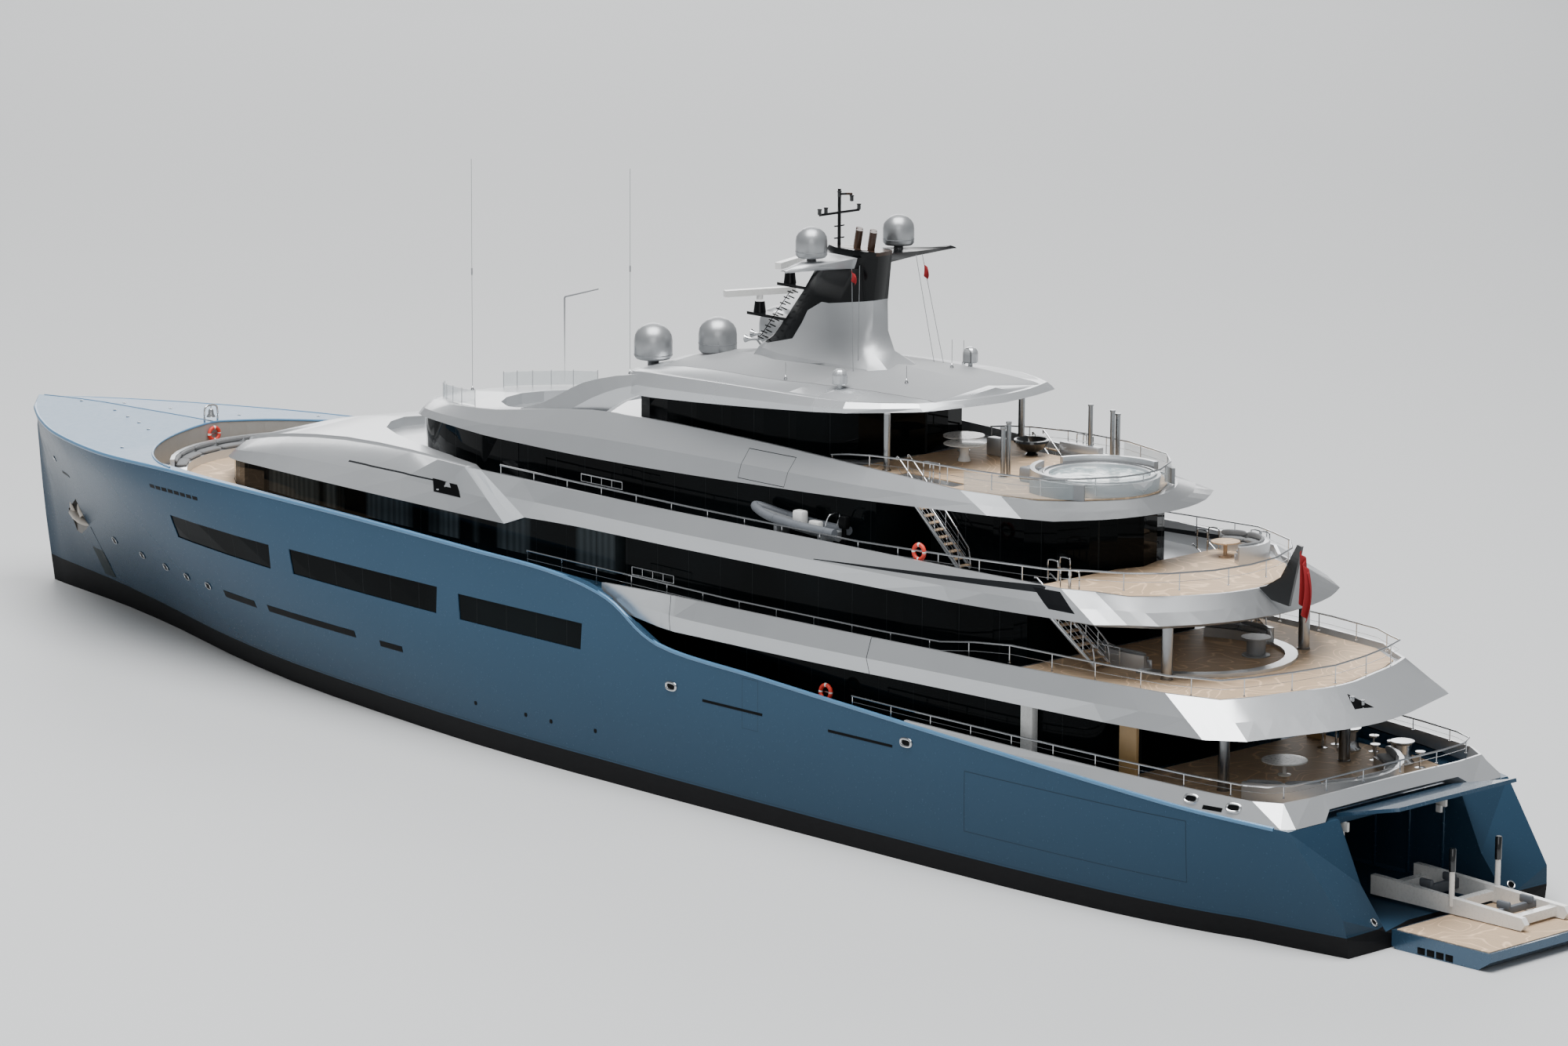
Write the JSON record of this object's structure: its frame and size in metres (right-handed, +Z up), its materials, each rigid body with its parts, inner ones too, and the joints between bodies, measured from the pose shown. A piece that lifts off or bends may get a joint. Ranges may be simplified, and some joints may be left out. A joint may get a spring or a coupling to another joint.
{
  "type": "motor yacht scale model",
  "caption": "Large displacement motor yacht at one tenth: flared steel hull, stacked glazed deckhouses, mast with domes and radars, open stern garage.",
  "frame": {"origin": "centreline amidships at the waterline", "axes": "+X to the bow, +Y to port, +Z up"},
  "size_m": [10.277, 1.7364, 3.1728],
  "materials": {
    "hull_paint": "metallic gloss",
    "silver_paint": "metallic gloss",
    "dark_glass": "polished",
    "teak": "oiled",
    "cushion": "woven",
    "white_gloss": "gloss",
    "white_paint": "gloss",
    "polished_steel": "polished",
    "bronze": "polished",
    "black_gloss": "gloss"
  },
  "bodies": {
    "yacht": {"hull": "hull_paint", "hull_window_fore_port": "dark_glass", "hull_window_fore_starboard": "dark_glass", "hull_window_mid_port": "dark_glass", "hull_window_mid_starboard": "dark_glass", "hull_window_aft_port": "dark_glass", "hull_window_aft_starboard": "dark_glass", "upper_deck": "silver_paint", "bridge_deck": "silver_paint", "sun_deck": "silver_paint", "stern_bulwark": "silver_paint", "main_deckhouse": "dark_glass", "upper_deckhouse_fore": "dark_glass", "upper_deckhouse_aft": "dark_glass", "wheelhouse": "dark_glass", "bridge_deckhouse": "dark_glass", "sun_deckhouse": "dark_glass", "dome_fore": "silver_paint", "dome_middle": "silver_paint", "dome_after": "silver_paint", "dome_wing_port": "silver_paint", "dome_wing_starboard": "silver_paint", "hardtop": "silver_paint", "mast": "silver_paint", "main_teak": "teak", "upper_teak": "teak", "sun_teak": "teak", "bridge_teak": "teak", "fore_teak": "teak", "main_lounge_bench": "silver_paint", "bridge_bench": "silver_paint", "fore_bench": "silver_paint", "upper_lounge_bench": "silver_paint", "main_table": "white_gloss", "upper_table": "white_gloss", "bridge_table": "white_gloss", "sun_table": "white_gloss", "sun_pool": "white_gloss", "sun_lounge_wall_port": "silver_paint", "sun_lounge_wall_starboard": "silver_paint", "stair_upper_port": "polished_steel", "stair_upper_starboard": "polished_steel", "stair_bridge_port": "polished_steel", "stair_bridge_starboard": "polished_steel", "ensign_staff": "black_gloss", "anchor_port": "polished_steel", "anchor_starboard": "polished_steel"},
    "garage_door": {"garage_door": "hull_paint"},
    "propeller_port": {"propeller_port": "bronze"},
    "propeller_starboard": {"propeller_starboard": "bronze"},
    "radar_lower": {"radar_lower": "white_gloss"},
    "radar_upper": {"radar_upper": "white_gloss"},
    "rudder_port": {"rudder_port": "hull_paint"},
    "rudder_starboard": {"rudder_starboard": "hull_paint"},
    "stabiliser_port": {"stabiliser_port": "hull_paint"},
    "stabiliser_starboard": {"stabiliser_starboard": "hull_paint"},
    "swim_platform": {"swim_platform": "hull_paint"},
    "tender_cradle": {"tender_cradle": "white_paint"}
  },
  "joints": [
    {"name": "propeller_port_spin", "type": "hinge", "parent": "yacht", "child": "propeller_port", "pos_m": [-4.09, 0.31, -0.295], "axis": [1, 0, 0], "continuous": true},
    {"name": "propeller_starboard_spin", "type": "hinge", "parent": "yacht", "child": "propeller_starboard", "pos_m": [-4.09, -0.31, -0.295], "axis": [1, 0, 0], "continuous": true},
    {"name": "rudder_port_turn", "type": "hinge", "parent": "yacht", "child": "rudder_port", "pos_m": [-4.32, 0.31, -0.1], "axis": [0, 0, 1], "range_deg": [-35, 35]},
    {"name": "rudder_starboard_turn", "type": "hinge", "parent": "yacht", "child": "rudder_starboard", "pos_m": [-4.32, -0.31, -0.1], "axis": [0, 0, 1], "range_deg": [-35, 35]},
    {"name": "stabiliser_port_turn", "type": "hinge", "parent": "yacht", "child": "stabiliser_port", "pos_m": [0.4, 0.752, -0.296], "axis": [0, 0.766, -0.6428], "range_deg": [-25, 25]},
    {"name": "stabiliser_starboard_turn", "type": "hinge", "parent": "yacht", "child": "stabiliser_starboard", "pos_m": [0.4, -0.752, -0.296], "axis": [0, -0.766, -0.6428], "range_deg": [-25, 25]},
    {"name": "radar_lower_spin", "type": "hinge", "parent": "yacht", "child": "radar_lower", "pos_m": [-0.59, 0, 2.18], "axis": [0, 0, 1], "continuous": true},
    {"name": "radar_upper_spin", "type": "hinge", "parent": "yacht", "child": "radar_upper", "pos_m": [-0.79, 0, 2.34], "axis": [0, 0, 1], "continuous": true},
    {"name": "garage_door_swing", "type": "hinge", "parent": "yacht", "child": "garage_door", "pos_m": [-4.49, 0, 0.522], "axis": [0, 1, 0], "range_deg": [-64, 0]},
    {"name": "swim_platform_lift", "type": "slide", "parent": "yacht", "child": "swim_platform", "axis": [0, 0, 1], "range_m": [-0.1, 0]},
    {"name": "tender_cradle_travel", "type": "slide", "parent": "yacht", "child": "tender_cradle", "axis": [1, 0, 0], "range_m": [0, 0.5]}
  ]
}
